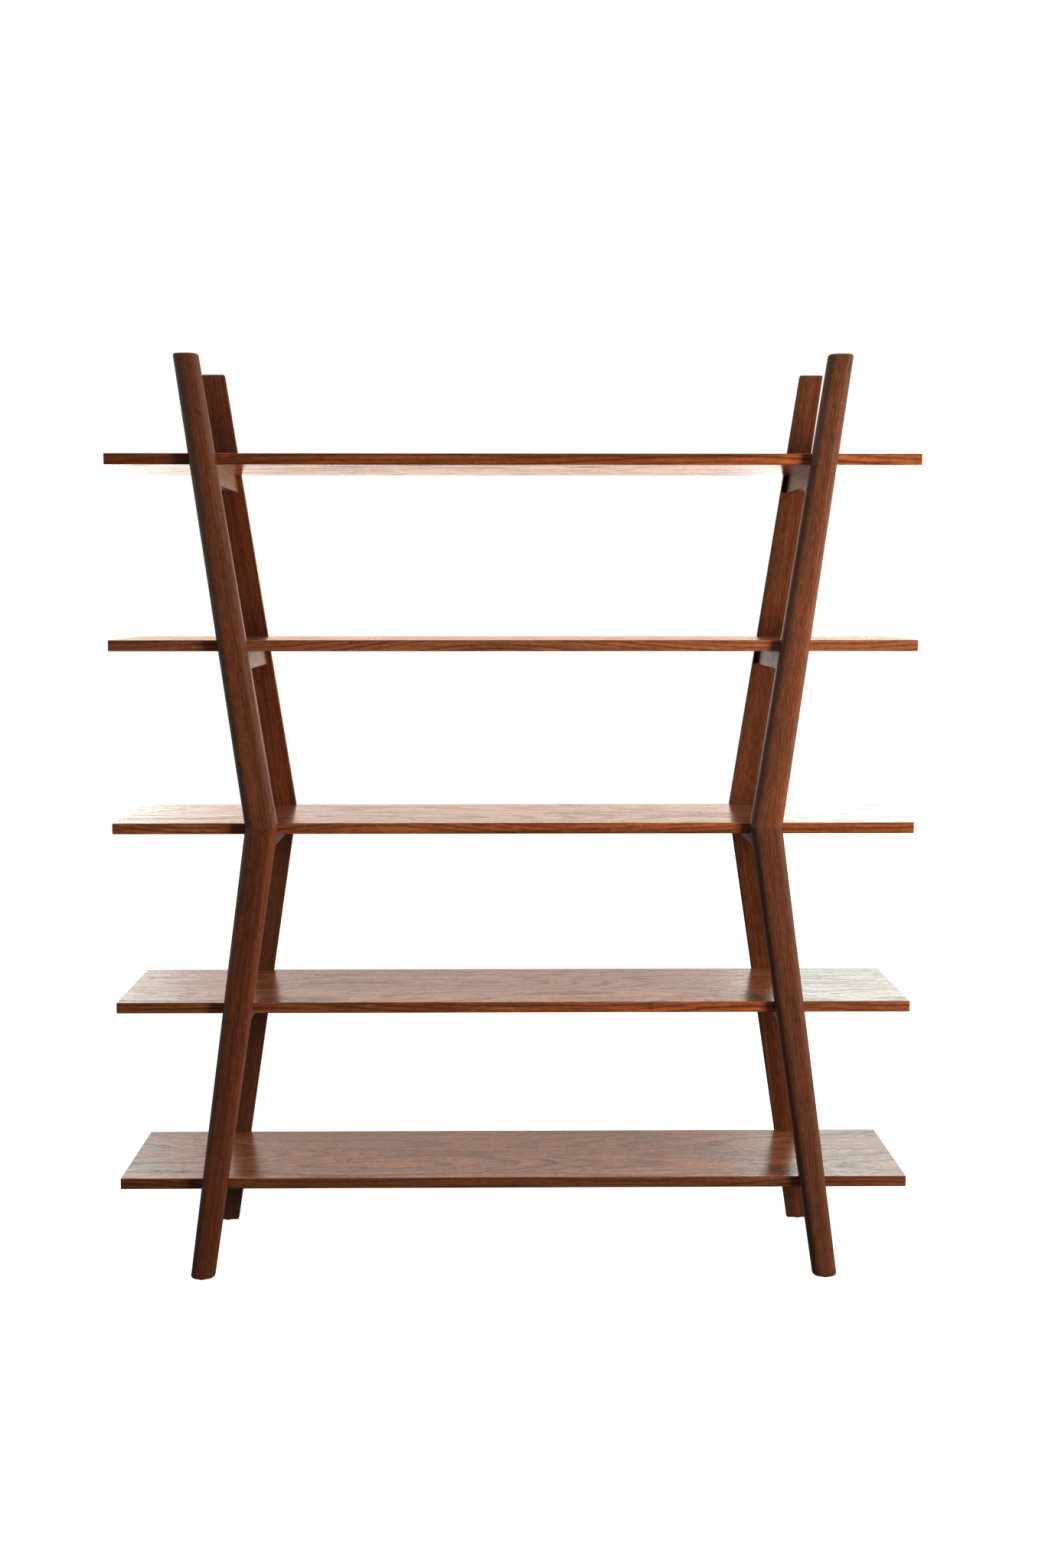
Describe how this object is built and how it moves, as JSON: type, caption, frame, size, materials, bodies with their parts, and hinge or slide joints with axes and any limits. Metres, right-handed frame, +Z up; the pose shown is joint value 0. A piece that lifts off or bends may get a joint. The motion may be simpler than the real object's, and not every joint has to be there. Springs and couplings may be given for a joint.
{
  "type": "open bookcase",
  "caption": "Free-standing open bookcase in solid wood: level shelves on rails between front and rear legs that bend outwards at mid height.",
  "frame": {"origin": "on the floor, under the middle of the bookcase", "axes": "+Z up, +X to the right along the shelves, -Y towards the front"},
  "size_m": [1.65, 0.395, 1.905],
  "materials": {
    "shelf_wood": "semi-gloss clear lacquer over red-brown hardwood",
    "leg_wood": "semi-gloss clear lacquer over dark red-brown hardwood",
    "rail_wood": "semi-gloss clear lacquer over red-brown hardwood",
    "dowel_wood": "plain beech",
    "screw_steel": "zinc-plated",
    "glide_plastic": "moulded nylon"
  },
  "bodies": {
    "root": {"top_shelf": "shelf_wood", "upper_shelf": "shelf_wood", "middle_shelf": "shelf_wood", "lower_shelf": "shelf_wood", "bottom_shelf": "shelf_wood", "front_left_upper_leg": "leg_wood", "front_left_lower_leg": "leg_wood", "front_right_upper_leg": "leg_wood", "front_right_lower_leg": "leg_wood", "rear_left_upper_leg": "leg_wood", "rear_left_lower_leg": "leg_wood", "rear_right_upper_leg": "leg_wood", "rear_right_lower_leg": "leg_wood", "top_left_rail": "rail_wood", "upper_left_rail": "rail_wood", "middle_left_rail": "rail_wood", "lower_left_rail": "rail_wood", "bottom_left_rail": "rail_wood", "top_right_rail": "rail_wood", "upper_right_rail": "rail_wood", "middle_right_rail": "rail_wood", "lower_right_rail": "rail_wood", "bottom_right_rail": "rail_wood", "waist_dowels": "dowel_wood", "shelf_screws": "screw_steel", "foot_glides": "glide_plastic"}
  },
  "joints": []
}
